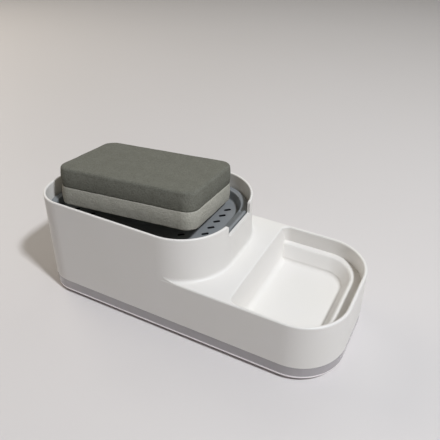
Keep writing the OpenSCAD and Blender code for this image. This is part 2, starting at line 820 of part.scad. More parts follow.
module plate_socket() {
    relief_out = dome_foot_r - plate_t;
    relief_in = socket_r + socket_wall;
    translate([pump_x, 0, 0]) {
        translate([0, 0, plate_under - over])
            cylinder(r = socket_r, h = head_top - plate_under + over);
        translate([0, 0, head_top - lap]) cylinder(r = valve_r + fit_gap, h = valve_t + lap);
        translate([0, 0, head_top]) cylinder(r = outlet_r, h = dome_h);
        rotate_extrude() polygon([[relief_in, plate_under - over], [relief_in, plate_floor + plate_t],
                                  [relief_out, plate_under - over]]);
    }
}

// Drain slots, slanted, in two rows at each end of the plate
module plate_slots() {
    mid_x = (pan_x0 + pan_x1) / 2;
    reach = (pan_x1 - pan_x0) / 2 - slot_inset;
    for (s = [-1, 1], row = [0, 1], k = [0:slot_count - 1])
        translate([mid_x + s * (reach - row * slot_row_gap), (k - (slot_count - 1) / 2) * slot_pitch,
                   plate_under - over])
            rotate(slot_angle) linear_extrude(plate_t + 2 * over) {
                square([slot_l - slot_w, slot_w], center = true);
                for (e = [-1, 1]) translate([e * (slot_l - slot_w) / 2, 0]) circle(d = slot_w);
            }
}

// Raised lip at the notch, for lifting the plate out
module plate_tab() {
    out_x = tower_x1 - plate_in;
    intersection() {
        translate([0, notch_w / 2 - tab_side_gap, 0]) rotate([90, 0, 0])
            linear_extrude(notch_w - 2 * tab_side_gap)
                polygon([[pan_x1, ring_top - plate_t / 2], [pan_x1, ring_top],
                         [out_x - tab_crown, ring_top + tab_h], [out_x - tab_round, ring_top + tab_h],
                         [out_x, ring_top + tab_h - tab_round], [out_x, ring_top - plate_t / 2]]);
        translate([0, 0, ring_top - plate_t]) linear_extrude(tab_h + 2 * plate_t)
            tower_plan(plate_in);
    }
}

module outlet_valve() {
    color("lightgray") translate([pump_x, 0, head_top]) difference() {
        union() {
            cylinder(r = valve_r, h = valve_t);
            cylinder(r = outlet_r - fit_gap, h = dome_h - socket_up + valve_rise);
        }
        translate([0, 0, -over]) cylinder(d = stem_bore_d, h = valve_t + over);
        translate([-outlet_r / 2, -seal_out / 2, 0])
            cube([outlet_r, seal_out, dome_h]);
    }
}

module sponge_slab(z, t) {
    translate([pump_x + sponge_dx, sponge_dy, sponge_z])
        rotate([-sponge_lean_back, -sponge_lean_end, sponge_turn])
            translate([0, 0, z]) linear_extrude(t)
                plan(-sponge_l / 2, sponge_l / 2, sponge_w / 2, sponge_r, sponge_r);
}

module sponge_base_layer() {
    color("silver") sponge_slab(0, sponge_base_t);
}

module sponge_top_layer() {
    color("dimgray") sponge_slab(sponge_base_t, sponge_top_t);
}

reservoir_tray();
tray_seal();
foot(-1, -1);  // foot_front_left
foot(1, -1);  // foot_front_right
foot(-1, 1);  // foot_back_left
foot(1, 1);  // foot_back_right
tower_shell();
dish_shell();
well_floor();
pump_gasket();
pump_cylinder();
pump_guide_ring();
pump_collar_nut();
dip_tube();
pump_spring();
check_ball();
pump_stem();
pump_piston();
piston_seat();
pump_head();
press_plate();
outlet_valve();
sponge_base_layer();
sponge_top_layer();
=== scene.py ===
import math

import bmesh
import bpy
from mathutils import Matrix, Vector


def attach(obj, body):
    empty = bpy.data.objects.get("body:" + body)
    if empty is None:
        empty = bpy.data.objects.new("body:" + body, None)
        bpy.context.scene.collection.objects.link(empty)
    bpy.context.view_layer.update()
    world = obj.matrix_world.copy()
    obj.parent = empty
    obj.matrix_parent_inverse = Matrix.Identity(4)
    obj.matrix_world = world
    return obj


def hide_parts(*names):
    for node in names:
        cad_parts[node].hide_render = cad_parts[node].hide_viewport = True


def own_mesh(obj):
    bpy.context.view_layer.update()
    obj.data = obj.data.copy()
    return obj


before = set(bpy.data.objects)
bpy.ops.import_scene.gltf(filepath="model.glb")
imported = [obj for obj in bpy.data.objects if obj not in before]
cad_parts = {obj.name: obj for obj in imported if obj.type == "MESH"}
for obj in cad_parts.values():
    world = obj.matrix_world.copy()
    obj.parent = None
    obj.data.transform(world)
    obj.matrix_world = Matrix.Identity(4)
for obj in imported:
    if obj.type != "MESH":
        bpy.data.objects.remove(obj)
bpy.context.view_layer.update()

bl_info = {
    "name": "Press-plate soap dispenser",
    "version": (1, 0, 0),
    "blender": (4, 5, 0),
    "location": "View3D > Sidebar > Soap Dispenser",
    "description": "Dresses a press-plate soap dispenser with its plastics, foam sponge and studio stage",
    "category": "Object",
}

MM = 0.001

# CAD nodes of the rigid pieces, by what they are moulded from
WHITE_SHELL = ("tower_shell", "dish_shell", "well_floor")
GREY_PLATE = ("press_plate",)
CLEAR_TANK = ("reservoir_tray",)
SILICONE = ("tray_seal", "pump_gasket", "outlet_valve")
RUBBER_FEET = ("foot_front_left", "foot_front_right", "foot_back_left", "foot_back_right")
NATURAL_PUMP = ("pump_cylinder", "pump_guide_ring", "pump_collar_nut", "pump_stem", "piston_seat", "pump_head")
TUBE = ("dip_tube",)
SOFT_PISTON = ("pump_piston",)
STEEL = ("check_ball",)

# The part of a noise's range that carries its pattern: narrow for clouds of colour, wider for gloss
CLOUD_SPREAD = (0.35, 0.65)
GLOSS_SPREAD = (0.3, 0.7)

# Rounding of the foam's cut edges, the bulge of its sides and the waves of its faces
PALE_EDGE = 1.1 * MM
DARK_EDGE = 2.2 * MM
SEAM_EDGE = 0.5 * MM
PALE_BULGE = 0.5 * MM
DARK_BULGE = 0.4 * MM
FOAM_WAVES = 0.5 * MM

# Camera of the picture: its place, and the directions of its frame
CAMERA_PLACE = (158.7 * MM, -283.3 * MM, 291.6 * MM)
CAMERA_RIGHT = (0.88635, 0.46294, 0.00894)
CAMERA_UP = (-0.26758, 0.49638, 0.82584)
CAMERA_BACK = (0.37787, -0.73437, 0.56384)

# Square lamps of the studio, a small one for the crisp shadow and three soft ones:
# name, place and side in metres, power in watts, colour
LAMPS = (
    ("Key lamp", (0.80, -0.30, 1.30), 0.12, 19.9, "#f5f9ff"),
    ("Right lamp", (0.72, 0.20, 0.94), 0.80, 1.2, "#fafeff"),
    ("Left lamp", (-1.00, 0.20, 0.60), 0.80, 4.8, "#fff6e8"),
    ("Back lamp", (0.00, 0.90, 0.90), 0.80, 1.8, "#fcfffb"),
)


def linear(hex_colour):
    """Turns an sRGB hex colour into the linear colour that a shader takes."""
    parts = [int(hex_colour.lstrip("#")[i:i + 2], 16) / 255 for i in (0, 2, 4)]
    return tuple(c / 12.92 if c <= 0.04045 else ((c + 0.055) / 1.055) ** 2.4 for c in parts) + (1.0,)


def add_node(tree, kind, inputs=None, **settings):
    """Adds a node, sets its properties, and sets or links its inputs by name or number."""
    node = tree.nodes.new(kind)
    for key, value in settings.items():
        setattr(node, key, value)
    for key, value in (inputs or {}).items():
        if isinstance(value, bpy.types.NodeSocket):
            tree.links.new(value, node.inputs[key])
        else:
            node.inputs[key].default_value = value
    return node


def start_material(name):
    """Makes an empty node material and returns it with its tree and the object's own coordinates."""
    material = bpy.data.materials.new(name)
    material.use_nodes = True
    tree = material.node_tree
    tree.nodes.clear()
    place = add_node(tree, "ShaderNodeTexCoord").outputs["Object"]
    return material, tree, place


def finish_material(tree, shader):
    """Ends a material with its shader."""
    add_node(tree, "ShaderNodeOutputMaterial", {"Surface": shader})


def blend_colours(tree, share, low, high):
    """Mixes two colours by a share between 0 and 1."""
    return add_node(tree, "ShaderNodeMix", {0: share, 6: low, 7: high}, data_type="RGBA").outputs[2]


def stretch(tree, value, low, high, new_low, new_high):
    """Maps one range of a value to another, and holds it there."""
    return add_node(tree, "ShaderNodeMapRange", {
        "Value": value, "From Min": low, "From Max": high, "To Min": new_low, "To Max": new_high,
    }).outputs["Result"]


def moulded_white_abs(finish):
    """White ABS from a tool with a fine spark-eroded face: a soft even sheen, and a grain felt more than seen."""
    material, tree, place = start_material("Moulded white ABS")
    # Melt flow leaves clouds of very slightly warmer white, about as wide as a thumb
    clouds = add_node(tree, "ShaderNodeTexNoise", {"Vector": place, "Scale": 1 / (38 * MM), "Detail": 3.0})
    cloud = stretch(tree, clouds.outputs["Fac"], *CLOUD_SPREAD, 0.0, 1.0)
    colour = blend_colours(tree, cloud, linear(finish.shell_colour), linear(finish.shell_warm_colour))
    # The eroded grain is 0.1 mm on the real tool, and is drawn at 0.7 mm so that it shows at all
    grain = add_node(tree, "ShaderNodeTexNoise", {"Vector": place, "Scale": 1 / (0.7 * MM), "Detail": 2.0})
    bump = add_node(tree, "ShaderNodeBump", {
        "Height": grain.outputs["Fac"], "Distance": 0.02 * MM, "Strength": 0.5})
    roughness = stretch(tree, grain.outputs["Fac"], *GLOSS_SPREAD, 0.40, 0.50)
    shader = add_node(tree, "ShaderNodeBsdfPrincipled", {
        "Base Color": colour, "Roughness": roughness, "IOR": 1.5, "Normal": bump.outputs["Normal"],
    })
    finish_material(tree, shader.outputs["BSDF"])
    return material


def moulded_grey_abs(finish):
    """Grey ABS, satin: it catches a broad dull highlight, a little cooler where the plate is wet and wiped.

    The walls of the drain slots are painted almost black, as painted shade for the dark depth of the narrow slots.
    """
    material, tree, place = start_material("Moulded grey ABS")
    clouds = add_node(tree, "ShaderNodeTexNoise", {"Vector": place, "Scale": 1 / (24 * MM), "Detail": 4.0})
    cloud = stretch(tree, clouds.outputs["Fac"], *CLOUD_SPREAD, 0.0, 1.0)
    unshaded = blend_colours(tree, cloud, linear(finish.plate_colour), linear(finish.plate_cool_colour))
    # Painted shade in the drain slots, whose walls are the faces that stand upright between the tray's floor and
    # its underside:
    # the dark painted colour starts just inside either face, and is full a little further in
    start, full = 0.05 * MM, 0.3 * MM
    height = add_node(tree, "ShaderNodeSeparateXYZ", {"Vector": place}).outputs["Z"]
    underside = finish.tray_floor - finish.tray_thickness
    below = stretch(tree, height, finish.tray_floor - full, finish.tray_floor - start, 1.0, 0.0)
    above = stretch(tree, height, underside + start, underside + full, 0.0, 1.0)
    facing = add_node(tree, "ShaderNodeTexCoord").outputs["Normal"]
    rise = add_node(tree, "ShaderNodeSeparateXYZ", {"Vector": facing}).outputs["Z"]
    lean = add_node(tree, "ShaderNodeMath", {0: rise}, operation="ABSOLUTE").outputs[0]
    upright = stretch(tree, lean, 0.2, 0.4, 1.0, 0.0)
    inside = add_node(tree, "ShaderNodeMath", {0: below, 1: above}, operation="MULTIPLY").outputs[0]
    slot = add_node(tree, "ShaderNodeMath", {0: inside, 1: upright}, operation="MULTIPLY").outputs[0]
    # Painted shade of the drain slots, mixed over the plate's grey
    colour = blend_colours(tree, slot, unshaded, linear(finish.slot_shade_colour))
    grain = add_node(tree, "ShaderNodeTexNoise", {"Vector": place, "Scale": 1 / (0.6 * MM), "Detail": 2.0})
    bump = add_node(tree, "ShaderNodeBump", {
        "Height": grain.outputs["Fac"], "Distance": 0.02 * MM, "Strength": 0.6})
    roughness = stretch(tree, clouds.outputs["Fac"], *GLOSS_SPREAD, 0.32, 0.44)
    shader = add_node(tree, "ShaderNodeBsdfPrincipled", {
        "Base Color": colour, "Roughness": roughness, "IOR": 1.5, "Normal": bump.outputs["Normal"],
    })
    finish_material(tree, shader.outputs["BSDF"])
    return material


def polished_clear_styrene(finish):
    """Clear polystyrene, hazy from use: a milky veil over what lies behind it.

    The round lower edge carries a painted highlight: a thin pale line just above the counter, painted paler, less
    clear and partly mirror, that stands in for light the wall guides down to it.
    """
    material, tree, place = start_material("Polished clear styrene")
    height = add_node(tree, "ShaderNodeSeparateXYZ", {"Vector": place}).outputs["Z"]
    # Painted highlight: below the edge height the wall is painted paler, less clear and partly mirror
    edge = stretch(tree, height, finish.highlight_top - finish.highlight_fade, finish.highlight_top, 1.0, 0.0)
    colour = blend_colours(tree, edge, linear(finish.tank_colour), linear(finish.tank_edge_highlight_colour))
    clear = stretch(tree, edge, 0.0, 1.0, finish.tank_clear, 0.0)
    mirror = stretch(tree, edge, 0.0, 1.0, 0.0, finish.highlight_shine)
    # Flow waves of the thin walls, a few millimetres wide and almost flat
    waves = add_node(tree, "ShaderNodeTexNoise", {"Vector": place, "Scale": 1 / (9 * MM), "Detail": 1.0})
    bump = add_node(tree, "ShaderNodeBump", {
        "Height": waves.outputs["Fac"], "Distance": 0.05 * MM, "Strength": 0.4})
    haze = stretch(tree, waves.outputs["Fac"], *GLOSS_SPREAD, 0.06, 0.14)
    roughness = stretch(tree, edge, 0.0, 1.0, haze, 0.3)
    shader = add_node(tree, "ShaderNodeBsdfPrincipled", {
        "Base Color": colour, "Roughness": roughness, "IOR": 1.58, "Metallic": mirror,
        "Transmission Weight": clear, "Normal": bump.outputs["Normal"],
    })
    finish_material(tree, shader.outputs["BSDF"])
    return material


def translucent_silicone():
    """Cured silicone rubber, uncoloured: milky, with light that sinks in and a slightly dusty skin."""
    material, tree, place = start_material("Translucent silicone")
    dust = add_node(tree, "ShaderNodeTexNoise", {"Vector": place, "Scale": 1 / (1.5 * MM), "Detail": 4.0})
    colour = blend_colours(tree, dust.outputs["Fac"], linear("#d9dad6"), linear("#c8cac6"))
    roughness = stretch(tree, dust.outputs["Fac"], *GLOSS_SPREAD, 0.35, 0.55)
    shader = add_node(tree, "ShaderNodeBsdfPrincipled", {
        "Base Color": colour, "Roughness": roughness, "IOR": 1.43, "Transmission Weight": 0.45,
    })
    finish_material(tree, shader.outputs["BSDF"])
    return material


def moulded_rubber():
    """Compression-moulded rubber: dull dark grey with a faint bloom."""
    material, tree, place = start_material("Moulded rubber")
    bloom = add_node(tree, "ShaderNodeTexNoise", {"Vector": place, "Scale": 1 / (2 * MM), "Detail": 5.0})
    colour = blend_colours(tree, bloom.outputs["Fac"], linear("#3a3a39"), linear("#4c4c4a"))
    bump = add_node(tree, "ShaderNodeBump", {
        "Height": bloom.outputs["Fac"], "Distance": 0.05 * MM, "Strength": 0.5})
    shader = add_node(tree, "ShaderNodeBsdfPrincipled", {
        "Base Color": colour, "Roughness": 0.82, "IOR": 1.52, "Normal": bump.outputs["Normal"],
    })
    finish_material(tree, shader.outputs["BSDF"])
    return material


def natural_polypropylene():
    """Uncoloured polypropylene: waxy and milky, a touch see-through where the wall is thin."""
    material, tree, place = start_material("Natural polypropylene")
    clouds = add_node(tree, "ShaderNodeTexNoise", {"Vector": place, "Scale": 1 / (6 * MM), "Detail": 3.0})
    colour = blend_colours(tree, clouds.outputs["Fac"], linear("#dfe1df"), linear("#d2d5d3"))
    roughness = stretch(tree, clouds.outputs["Fac"], *GLOSS_SPREAD, 0.28, 0.42)
    shader = add_node(tree, "ShaderNodeBsdfPrincipled", {
        "Base Color": colour, "Roughness": roughness, "IOR": 1.49, "Transmission Weight": 0.15,
        "Subsurface Weight": 0.2, "Subsurface Scale": 1.5 * MM,
    })
    finish_material(tree, shader.outputs["BSDF"])
    return material


def extruded_polyethylene():
    """Extruded polyethylene tube: hazy, with faint draw lines along its length."""
    material, tree, place = start_material("Extruded polyethylene")
    turned = add_node(tree, "ShaderNodeMapping", {"Vector": place, "Scale": (1.0, 1.0, 0.05)})
    lines = add_node(tree, "ShaderNodeTexNoise", {
        "Vector": turned.outputs["Vector"], "Scale": 1 / (0.8 * MM), "Detail": 2.0})
    bump = add_node(tree, "ShaderNodeBump", {
        "Height": lines.outputs["Fac"], "Distance": 0.04 * MM, "Strength": 0.5})
    shader = add_node(tree, "ShaderNodeBsdfPrincipled", {
        "Base Color": linear("#e4e6e4"), "Roughness": 0.3, "IOR": 1.51, "Transmission Weight": 0.5,
        "Normal": bump.outputs["Normal"],
    })
    finish_material(tree, shader.outputs["BSDF"])
    return material


def soft_polyethylene():
    """Low-density polyethylene, moulded: ivory, waxy, with a low even gloss."""
    material, tree, place = start_material("Soft polyethylene")
    clouds = add_node(tree, "ShaderNodeTexNoise", {"Vector": place, "Scale": 1 / (4 * MM), "Detail": 2.0})
    colour = blend_colours(tree, clouds.outputs["Fac"], linear("#ece6d2"), linear("#e2dcc6"))
    roughness = stretch(tree, clouds.outputs["Fac"], *GLOSS_SPREAD, 0.34, 0.46)
    shader = add_node(tree, "ShaderNodeBsdfPrincipled", {
        "Base Color": colour, "Roughness": roughness, "IOR": 1.51,
    })
    finish_material(tree, shader.outputs["BSDF"])
    return material


def drawn_stainless_steel():
    """Drawn and polished stainless steel: bright, with fine die lines that soften its reflections."""
    material, tree, place = start_material("Drawn stainless steel")
    lines = add_node(tree, "ShaderNodeTexNoise", {"Vector": place, "Scale": 1 / (0.4 * MM), "Detail": 3.0})
    roughness = stretch(tree, lines.outputs["Fac"], *GLOSS_SPREAD, 0.18, 0.34)
    shader = add_node(tree, "ShaderNodeBsdfPrincipled", {
        "Base Color": linear("#c9c8c5"), "Metallic": 1.0, "Roughness": roughness,
    })
    finish_material(tree, shader.outputs["BSDF"])
    return material


def open_cell_foam(name, skin_hex, pore_shade_hex, tuft_hex, cell):
    """Cut polyurethane foam: matt struts round open cells painted darker as painted shade, paler where the cut
    struts stand up.

    The cell map is stored on the mesh by the foam's node tree, so the painted shade follows the real dents.
    """
    material, tree, place = start_material(name)
    dent = add_node(tree, "ShaderNodeAttribute", attribute_name="cell_dent").outputs["Fac"]
    # Between the open cells lie smaller ones, about half as wide, which only the painted shade in the colour and
    # the bump show
    small = 0.55 * cell
    fine = add_node(tree, "ShaderNodeTexVoronoi", {"Vector": place, "Scale": 1 / small, "Randomness": 1.0})
    fine_dent = stretch(tree, fine.outputs["Distance"], 0.15, 0.55, 1.0, 0.0)
    both = add_node(tree, "ShaderNodeMath", {0: dent, 1: fine_dent}, operation="MAXIMUM").outputs[0]
    depth = add_node(tree, "ShaderNodeMath", {0: both, 1: 0.5}, operation="MULTIPLY").outputs[0]
    tufts = add_node(tree, "ShaderNodeTexNoise", {"Vector": place, "Scale": 1 / (7 * MM), "Detail": 5.0})
    tuft = stretch(tree, tufts.outputs["Fac"], 0.38, 0.66, 0.0, 0.4)
    skin = blend_colours(tree, tuft, linear(skin_hex), linear(tuft_hex))
    # Painted shade: the deeper the cell, the more of the darker cell colour
    colour = blend_colours(tree, depth, skin, linear(pore_shade_hex))
    bump = add_node(tree, "ShaderNodeBump", {
        "Height": fine_dent, "Distance": 0.25 * cell, "Strength": 0.5}, invert=True)
    shader = add_node(tree, "ShaderNodeBsdfPrincipled", {
        "Base Color": colour, "Roughness": 0.95, "IOR": 1.45, "Specular IOR Level": 0.2,
        "Normal": bump.outputs["Normal"],
    })
    finish_material(tree, shader.outputs["BSDF"])
    return material


def laminate_counter(stage):
    """Pale satin laminate: plain, with a wide weak sheen and a hint of pressed grain."""
    material, tree, place = start_material("Pale laminate")
    clouds = add_node(tree, "ShaderNodeTexNoise", {"Vector": place, "Scale": 1 / (180 * MM), "Detail": 3.0})
    colour = blend_colours(tree, clouds.outputs["Fac"], linear(stage.floor_colour), linear(stage.floor_warm_colour))
    shader = add_node(tree, "ShaderNodeBsdfPrincipled", {
        "Base Color": colour, "Roughness": 0.5, "IOR": 1.45,
    })
    finish_material(tree, shader.outputs["BSDF"])
    return material


def dress(names, material):
    """Gives CAD nodes one material."""
    for name in names:
        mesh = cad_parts[name].data
        mesh.materials.clear()
        mesh.materials.append(material)


def rounded_outline(length, width, radius, steps=14):
    """Points round a rectangle with round corners, counterclockwise from above."""
    points = []
    for sx, sy, start in ((1, 1, 0), (-1, 1, 90), (-1, -1, 180), (1, -1, 270)):
        for i in range(steps + 1):
            a = math.radians(start + 90 * i / steps)
            points.append((sx * (length / 2 - radius) + radius * math.cos(a),
                           sy * (width / 2 - radius) + radius * math.sin(a)))
    return points


def foam_profile(low, high, low_round, high_round, bulge, steps=6):
    """(inset, height) pairs up the side of a foam block: round lower edge, bulged side, round upper edge."""
    rows = []
    for i in range(steps + 1):
        a = math.radians(90 * i / steps)
        rows.append((low_round * (1 - math.sin(a)), low + low_round * (1 - math.cos(a))))
    for i in range(1, steps):
        t = i / steps
        rows.append((-bulge * math.sin(math.pi * t), low + low_round + (high - high_round - low - low_round) * t))
    for i in range(steps + 1):
        a = math.radians(90 * i / steps)
        rows.append((high_round * (1 - math.cos(a)), high - high_round * (1 - math.sin(a))))
    return rows


def foam_block(name, length, width, radius, rows):
    """A closed block of stacked outlines, one for each row of the profile."""
    mesh = bpy.data.meshes.new(name)
    build = bmesh.new()
    rings = []
    for inset, height in rows:
        outline = rounded_outline(length - 2 * inset, width - 2 * inset, radius - inset)
        rings.append([build.verts.new((x, y, height)) for x, y in outline])
    for lower, upper in zip(rings, rings[1:]):
        count = len(lower)
        for i in range(count):
            j = (i + 1) % count
            build.faces.new((lower[i], lower[j], upper[j], upper[i]))
    build.faces.new(list(reversed(rings[0])))
    build.faces.new(rings[-1])
    bmesh.ops.remove_doubles(build, verts=build.verts, dist=0.01 * MM)
    bmesh.ops.recalc_face_normals(build, faces=build.faces)
    build.to_mesh(mesh)
    build.free()
    block = bpy.data.objects.new(name, mesh)
    bpy.context.scene.collection.objects.link(block)
    return block


def coiled_wire(name, sizes):
    """A compression spring: one round wire along a helix, with closed ends."""
    # Steps along one turn, and sides round the wire
    steps, sides = 40, 12
    rings = round(steps * sizes.turns)
    climb = sizes.height - sizes.wire
    thick = sizes.wire / 2
    foot_x, foot_y, foot_z = sizes.foot
    mesh = bpy.data.meshes.new(name)
    build = bmesh.new()
    loops = []
    for i in range(rings + 1):
        a = 2 * math.pi * i / steps
        middle = foot_z + thick + climb * i / rings
        loop = []
        for k in range(sides):
            b = 2 * math.pi * k / sides
            r = sizes.mean_diameter / 2 + thick * math.cos(b)
            loop.append(build.verts.new(
                (foot_x + r * math.cos(a), foot_y + r * math.sin(a), middle + thick * math.sin(b))))
        loops.append(loop)
    for lower, upper in zip(loops, loops[1:]):
        for k in range(sides):
            j = (k + 1) % sides
            build.faces.new((lower[k], lower[j], upper[j], upper[k])).smooth = True
    build.faces.new(list(reversed(loops[0])))
    build.faces.new(loops[-1])
    bmesh.ops.recalc_face_normals(build, faces=build.faces)
    build.to_mesh(mesh)
    build.free()
    spring = bpy.data.objects.new(name, mesh)
    bpy.context.scene.collection.objects.link(spring)
    return spring


def bake_modifiers(piece):
    """Replaces a piece's mesh by what its modifiers make of it, and removes them."""
    graph = bpy.context.evaluated_depsgraph_get()
    mesh = bpy.data.meshes.new_from_object(
        piece.evaluated_get(graph), preserve_all_data_layers=True, depsgraph=graph)
    piece.modifiers.clear()
    old = piece.data
    piece.data = mesh
    bpy.data.meshes.remove(old)


def foam_cells_tree():
    """Geometry Nodes: dents a fine mesh with open cells of a given size and depth.

    The depth of each dent, from 0 to 1, stays on the mesh as the attribute cell_dent.
    """
    tree = bpy.data.node_groups.new("Foam Cells", "GeometryNodeTree")
    tree.is_modifier = True
    socket = tree.interface.new_socket
    socket("Geometry", in_out="INPUT", socket_type="NodeSocketGeometry")
    for label, kind, value, low in (
            ("Cell Size", "NodeSocketFloat", 1.6 * MM, 0.0), ("Cell Depth", "NodeSocketFloat", 0.3 * MM, 0.0),
            ("Uneven Height", "NodeSocketFloat", 0.3 * MM, 0.0), ("Seed", "NodeSocketInt", 1, 0)):
        item = socket(label, in_out="INPUT", socket_type=kind)
        item.default_value = value
        item.min_value = low
    socket("Material", in_out="INPUT", socket_type="NodeSocketMaterial")
    socket("Geometry", in_out="OUTPUT", socket_type="NodeSocketGeometry")
    given = add_node(tree, "NodeGroupInput").outputs
    place = add_node(tree, "GeometryNodeInputPosition").outputs[0]
    normal = add_node(tree, "GeometryNodeInputNormal").outputs[0]
    # The seed shifts the pattern, so that two blocks never show the same cells
    shift = add_node(tree, "ShaderNodeVectorMath", {0: (0.137, 0.071, 0.093), 3: given["Seed"]}, operation="SCALE")
    there = add_node(tree, "ShaderNodeVectorMath", {0: place, 1: shift.outputs[0]}, operation="ADD").outputs[0]
    per_metre = add_node(tree, "ShaderNodeMath", {0: 1.0, 1: given["Cell Size"]}, operation="DIVIDE").outputs[0]
    cells = add_node(tree, "ShaderNodeTexVoronoi", {"Vector": there, "Scale": per_metre, "Randomness": 1.0})
    dent = add_node(tree, "ShaderNodeMapRange", {
        "Value": cells.outputs["Distance"], "From Min": 0.18, "From Max": 0.55, "To Min": 1.0, "To Max": 0.0,
    }, interpolation_type="SMOOTHSTEP").outputs["Result"]
    rise = add_node(tree, "ShaderNodeTexNoise", {"Vector": there, "Scale": 1 / (11 * MM), "Detail": 3.0})
    level = add_node(tree, "ShaderNodeMath", {0: rise.outputs[0], 1: 0.5}, operation="SUBTRACT").outputs[0]
    wave = add_node(tree, "ShaderNodeMath", {0: level, 1: given["Uneven Height"]}, operation="MULTIPLY").outputs[0]
    sink = add_node(tree, "ShaderNodeMath", {0: dent, 1: given["Cell Depth"]}, operation="MULTIPLY").outputs[0]
    move = add_node(tree, "ShaderNodeMath", {0: wave, 1: sink}, operation="SUBTRACT").outputs[0]
    offset = add_node(tree, "ShaderNodeVectorMath", {0: normal, 3: move}, operation="SCALE").outputs[0]
    kept = add_node(tree, "GeometryNodeStoreNamedAttribute", {
        "Geometry": given["Geometry"], "Name": "cell_dent", "Value": dent}, data_type="FLOAT", domain="POINT")
    moved = add_node(tree, "GeometryNodeSetPosition", {"Geometry": kept.outputs[0], "Offset": offset})
    smooth = add_node(tree, "GeometryNodeSetShadeSmooth", {"Geometry": moved.outputs[0]})
    real = add_node(tree, "GeometryNodeRealizeInstances", {"Geometry": smooth.outputs[0]})
    dressed = add_node(tree, "GeometryNodeSetMaterial", {
        "Geometry": real.outputs[0], "Material": given["Material"]})
    add_node(tree, "NodeGroupOutput", {"Geometry": dressed.outputs[0]})
    return tree


def set_inputs(modifier, values):
    """Sets a node modifier's inputs by their labels, through the sockets' identifiers."""
    for item in modifier.node_group.interface.items_tree:
        if item.item_type == "SOCKET" and item.in_out == "INPUT" and item.name in values:
            modifier[item.identifier] = values[item.name]


class ShellFinish(bpy.types.PropertyGroup):
    """Colours and clearness of the moulded pieces"""
    shell_colour: bpy.props.StringProperty(
        name="Shell", description="White of the shell, as an sRGB hex value", default="#e5e2de")
    shell_warm_colour: bpy.props.StringProperty(
        name="Shell clouds", description="Warmer white of the melt clouds", default="#e4e1dc")
    plate_colour: bpy.props.StringProperty(
        name="Plate", description="Grey of the press plate", default="#868889")
    plate_cool_colour: bpy.props.StringProperty(
        name="Plate clouds", description="Cooler grey of the plate's clouds", default="#818588")
    # Painted shade: the colour that darkens the drain slots' walls
    slot_shade_colour: bpy.props.StringProperty(
        name="Drain slots", description="Colour of the slots' shaded walls", default="#1c1d20")
    tray_floor: bpy.props.FloatProperty(
        name="Tray floor", description="Height of the plate's sunken tray above the counter", default=65 * MM,
        unit="LENGTH")
    tray_thickness: bpy.props.FloatProperty(
        name="Tray thickness", description="Thickness of the tray's floor", default=2 * MM, unit="LENGTH")
    tank_colour: bpy.props.StringProperty(
        name="Reservoir", description="Tint of the clear reservoir", default="#ece7e9")
    # Painted highlight along the reservoir's lower edge: its colour, height, fade and mirror
    tank_edge_highlight_colour: bpy.props.StringProperty(
        name="Reservoir edge", description="Colour of the light at the reservoir's lower edge", default="#fbf6f8")
    tank_clear: bpy.props.FloatProperty(
        name="Clearness", description="Share of the light that passes the reservoir's wall unscattered",
        default=0.6, min=0.0, max=1.0)
    highlight_top: bpy.props.FloatProperty(
        name="Edge height", description="Height of the bright lower edge above the counter", default=5.4 * MM,
        unit="LENGTH")
    highlight_fade: bpy.props.FloatProperty(
        name="Edge fade", description="Height over which the bright edge fades into the wall", default=0.6 * MM,
        unit="LENGTH", precision=5)
    highlight_shine: bpy.props.FloatProperty(
        name="Edge shine", description="Share of mirror in the bright lower edge", default=0.5, min=0.0, max=1.0)


class SpringSizes(bpy.types.PropertyGroup):
    """Sizes and place of the return spring"""
    wire: bpy.props.FloatProperty(
        name="Wire", description="Diameter of the wire", default=0.9 * MM, unit="LENGTH", precision=5)
    turns: bpy.props.IntProperty(name="Turns", description="Number of turns", default=7)
    mean_diameter: bpy.props.FloatProperty(
        name="Mean diameter", description="Diameter of the coil's middle line", default=10.6 * MM, unit="LENGTH")
    height: bpy.props.FloatProperty(
        name="Height", description="Height of the spring at rest", default=16.75 * MM, unit="LENGTH", precision=5)
    pressed_height: bpy.props.FloatProperty(
        name="Pressed height", description="Height with the plate fully pressed", default=6.7 * MM, unit="LENGTH",
        precision=5)
    foot: bpy.props.FloatVectorProperty(
        name="Foot", description="Middle of the ledge that the spring stands on", size=3,
        default=(-45 * MM, 0.0, 21.25 * MM), unit="LENGTH", subtype="TRANSLATION", precision=5)


